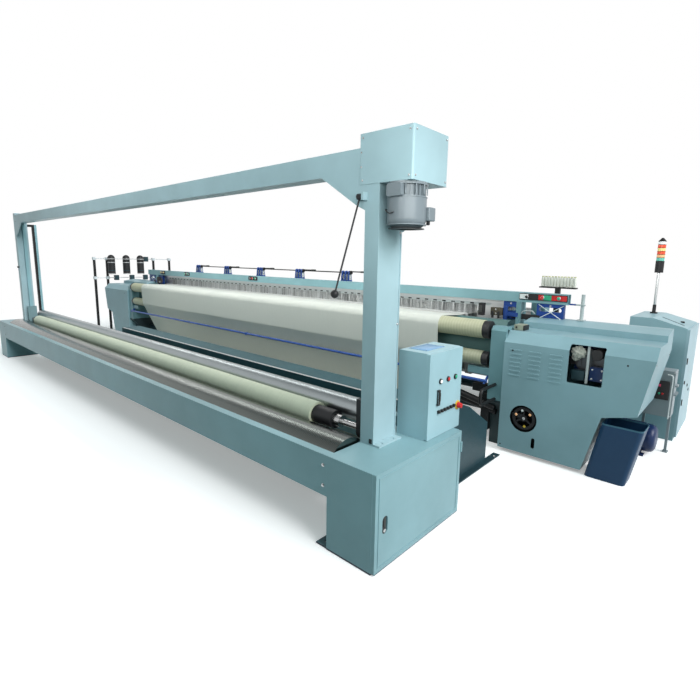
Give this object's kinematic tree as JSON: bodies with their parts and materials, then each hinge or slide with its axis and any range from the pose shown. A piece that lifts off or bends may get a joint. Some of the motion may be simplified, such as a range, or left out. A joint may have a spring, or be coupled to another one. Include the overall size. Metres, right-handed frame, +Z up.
{
  "type": "power loom with cloth winder",
  "caption": "Wide power loom with end covers, heald frames, sley and warp beam, and a free-standing cloth winder with a roll on two drums, lift posts, crossbeam and walkway",
  "frame": {"origin": "the floor face of the middle foot under the centre of the loom", "axes": "X along the loom, Y from the cloth winder towards the warp beam, Z up"},
  "size_m": [10.281, 4.098, 2.285],
  "materials": {
    "winder_cabinet": "satin enamel",
    "cabinet_door": "satin enamel",
    "winder_frame": "satin enamel",
    "right_post": "satin enamel",
    "left_post": "satin enamel",
    "crossbeam": "satin enamel",
    "motor_housing": "satin enamel",
    "lift_motor": "satin enamel",
    "lift_rails": "satin enamel",
    "roll_carriages": "dull black",
    "roll_shaft": "ground steel",
    "batch_tube": "matt",
    "cloth_roll": "plain woven",
    "front_drum": "ground steel",
    "rear_roller": "bright plate",
    "winder_guide_roller": "ground steel",
    "control_box": "satin enamel",
    "control_door": "satin enamel",
    "stop_button": "gloss",
    "feeler_arm": "satin enamel",
    "walkway_tread": "satin enamel",
    "walkway_supports": "satin enamel",
    "side_frames": "satin enamel",
    "breast_beam": "satin enamel",
    "cross_members": "satin enamel",
    "breast_roller": "ground steel",
    "takeup_roller": "fine grip cover",
    "floor_roller": "ground steel",
    "back_rest": "ground steel",
    "spreader_bar": "satin enamel",
    "cloth_web": "plain woven",
    "warp_sheet": "plain woven",
    "warp_beam": "satin",
    "warp_yarn": "plain woven",
    "stop_rails": "satin enamel",
    "sley": "satin",
    "reed": "ground steel",
    "heald_frame_1": "satin",
    "heald_frame_2": "satin",
    "heald_frame_3": "satin",
    "heald_frame_4": "satin",
    "top_beam": "satin enamel",
    "button_stations": "matt",
    "lever_brackets": "satin enamel",
    "bracket_levers": "satin enamel",
    "drive_cover": "satin enamel",
    "left_cover": "satin enamel",
    "beam_castings": "satin enamel",
    "receiver_unit": "ground steel",
    "hand_wheel": "satin enamel",
    "waste_bin": "satin enamel",
    "drive_motor": "satin enamel",
    "operator_box": "satin enamel",
    "electric_cabinet": "satin enamel",
    "electric_door": "satin enamel",
    "signal_beacon": "gloss",
    "weft_stand": "satin enamel",
    "weft_feeders": "matt",
    "bobbin_rack": "matt",
    "foot_rail": "satin enamel"
  },
  "bodies": {
    "machine": {"winder_cabinet": "winder_cabinet", "winder_frame": "winder_frame", "right_post": "right_post", "left_post": "left_post", "crossbeam": "crossbeam", "motor_housing": "motor_housing", "lift_motor": "lift_motor", "lift_rails": "lift_rails", "control_box": "control_box", "walkway_tread": "walkway_tread", "walkway_supports": "walkway_supports", "side_frames": "side_frames", "breast_beam": "breast_beam", "cross_members": "cross_members", "spreader_bar": "spreader_bar", "cloth_web": "cloth_web", "warp_sheet": "warp_sheet", "stop_rails": "stop_rails", "top_beam": "top_beam", "button_stations": "button_stations", "lever_brackets": "lever_brackets", "drive_cover": "drive_cover", "left_cover": "left_cover", "beam_castings": "beam_castings", "receiver_unit": "receiver_unit", "waste_bin": "waste_bin", "drive_motor": "drive_motor", "operator_box": "operator_box", "electric_cabinet": "electric_cabinet", "signal_beacon": "signal_beacon", "weft_stand": "weft_stand", "weft_feeders": "weft_feeders", "bobbin_rack": "bobbin_rack", "foot_rail": "foot_rail"},
    "cabinet_door_body": {"cabinet_door": "cabinet_door"},
    "electric_door_body": {"electric_door": "electric_door"},
    "control_door_body": {"control_door": "control_door"},
    "stop_button_body": {"stop_button": "stop_button"},
    "feeler_body": {"feeler_arm": "feeler_arm"},
    "lift_body": {"roll_carriages": "roll_carriages"},
    "roll_body": {"roll_shaft": "roll_shaft", "batch_tube": "batch_tube", "cloth_roll": "cloth_roll"},
    "front_drum_body": {"front_drum": "front_drum"},
    "rear_roller_body": {"rear_roller": "rear_roller"},
    "winder_guide_body": {"winder_guide_roller": "winder_guide_roller"},
    "takeup_body": {"takeup_roller": "takeup_roller"},
    "breast_body": {"breast_roller": "breast_roller"},
    "floor_roller_body": {"floor_roller": "floor_roller"},
    "back_rest_body": {"back_rest": "back_rest"},
    "warp_body": {"warp_beam": "warp_beam", "warp_yarn": "warp_yarn"},
    "sley_body": {"sley": "sley", "reed": "reed"},
    "heald_body_1": {"heald_frame_1": "heald_frame_1"},
    "heald_body_2": {"heald_frame_2": "heald_frame_2"},
    "heald_body_3": {"heald_frame_3": "heald_frame_3"},
    "heald_body_4": {"heald_frame_4": "heald_frame_4"},
    "hand_wheel_body": {"hand_wheel": "hand_wheel"},
    "levers_body": {"bracket_levers": "bracket_levers"}
  },
  "joints": [
    {"name": "cabinet_door_hinge", "type": "hinge", "parent": "machine", "child": "cabinet_door_body", "pos_m": [4.03, -1.53, 0.452], "axis": [0, 0, 1], "range_deg": [0, 110]},
    {"name": "electric_door_hinge", "type": "hinge", "parent": "machine", "child": "electric_door_body", "pos_m": [4.919, 1.697, 0.549], "axis": [0, 0, 1], "range_deg": [0, 110]},
    {"name": "control_door_hinge", "type": "hinge", "parent": "machine", "child": "control_door_body", "pos_m": [3.971, -1.468, 0.827], "axis": [0, 0, 1], "range_deg": [0, 110]},
    {"name": "stop_button_press", "type": "slide", "parent": "control_door_body", "child": "stop_button_body", "axis": [-1, 0, 0], "range_m": [0, 0.006], "stiffness_N_per_m": 800},
    {"name": "feeler_swing", "type": "hinge", "parent": "machine", "child": "feeler_body", "pos_m": [3.662, -2.142, 1.96], "axis": [1, 0, 0], "range_deg": [-15, 15]},
    {"name": "roll_lift", "type": "slide", "parent": "machine", "child": "lift_body", "axis": [0, 0, 1], "range_m": [0, 1]},
    {"name": "roll_spin", "type": "hinge", "parent": "lift_body", "child": "roll_body", "pos_m": [0.13, -2.02538, 0.60137], "axis": [1, 0, 0], "continuous": true},
    {"name": "front_drum_spin", "type": "hinge", "parent": "machine", "child": "front_drum_body", "pos_m": [0, -2.21, 0.44], "axis": [1, 0, 0], "continuous": true},
    {"name": "rear_roller_spin", "type": "hinge", "parent": "machine", "child": "rear_roller_body", "pos_m": [0, -1.88, 0.65], "axis": [1, 0, 0], "continuous": true},
    {"name": "winder_guide_spin", "type": "hinge", "parent": "machine", "child": "winder_guide_body", "pos_m": [0, -1.8, 0.1], "axis": [1, 0, 0], "continuous": true},
    {"name": "takeup_spin", "type": "hinge", "parent": "machine", "child": "takeup_body", "pos_m": [0, -0.3, 0.778], "axis": [1, 0, 0], "continuous": true},
    {"name": "breast_spin", "type": "hinge", "parent": "machine", "child": "breast_body", "pos_m": [0, -0.3, 1.038], "axis": [1, 0, 0], "continuous": true},
    {"name": "floor_roller_spin", "type": "hinge", "parent": "machine", "child": "floor_roller_body", "pos_m": [0, -0.112, 0.1], "axis": [1, 0, 0], "continuous": true},
    {"name": "back_rest_spin", "type": "hinge", "parent": "machine", "child": "back_rest_body", "pos_m": [0, 1.08, 1.039], "axis": [1, 0, 0], "continuous": true},
    {"name": "warp_beam_spin", "type": "hinge", "parent": "machine", "child": "warp_body", "pos_m": [0, 1.15, 0.545], "axis": [1, 0, 0], "continuous": true},
    {"name": "sley_rock", "type": "hinge", "parent": "machine", "child": "sley_body", "pos_m": [0, 0.175, 0.52], "axis": [1, 0, 0], "range_deg": [-5, 5]},
    {"name": "heald_lift_1", "type": "slide", "parent": "machine", "child": "heald_body_1", "axis": [0, 0, 1], "range_m": [-0.045, 0.045]},
    {"name": "heald_lift_2", "type": "slide", "parent": "machine", "child": "heald_body_2", "axis": [0, 0, 1], "range_m": [-0.045, 0.045]},
    {"name": "heald_lift_3", "type": "slide", "parent": "machine", "child": "heald_body_3", "axis": [0, 0, 1], "range_m": [-0.045, 0.045]},
    {"name": "heald_lift_4", "type": "slide", "parent": "machine", "child": "heald_body_4", "axis": [0, 0, 1], "range_m": [-0.045, 0.045]},
    {"name": "hand_wheel_spin", "type": "hinge", "parent": "machine", "child": "hand_wheel_body", "pos_m": [3.9823, -0.33, 0.33], "axis": [0, 1, 0], "continuous": true},
    {"name": "levers_rock", "type": "hinge", "parent": "machine", "child": "levers_body", "pos_m": [0, 0.6, 1.453], "axis": [1, 0, 0], "range_deg": [-30, 30]}
  ],
  "couplings": [
    {"joint": "back_rest_spin", "follows": "warp_beam_spin", "ratio": 5},
    {"joint": "breast_spin", "follows": "warp_beam_spin", "ratio": 3.6585},
    {"joint": "takeup_spin", "follows": "warp_beam_spin", "ratio": 4.5455},
    {"joint": "floor_roller_spin", "follows": "warp_beam_spin", "ratio": -6.6667},
    {"joint": "winder_guide_spin", "follows": "warp_beam_spin", "ratio": -6.6667},
    {"joint": "front_drum_spin", "follows": "warp_beam_spin", "ratio": 1.8182},
    {"joint": "rear_roller_spin", "follows": "warp_beam_spin", "ratio": 4},
    {"joint": "roll_spin", "follows": "warp_beam_spin", "ratio": -3.8462},
    {"joint": "heald_lift_2", "follows": "heald_lift_1", "ratio": -1},
    {"joint": "heald_lift_3", "follows": "heald_lift_1", "ratio": 1},
    {"joint": "heald_lift_4", "follows": "heald_lift_1", "ratio": -1}
  ]
}
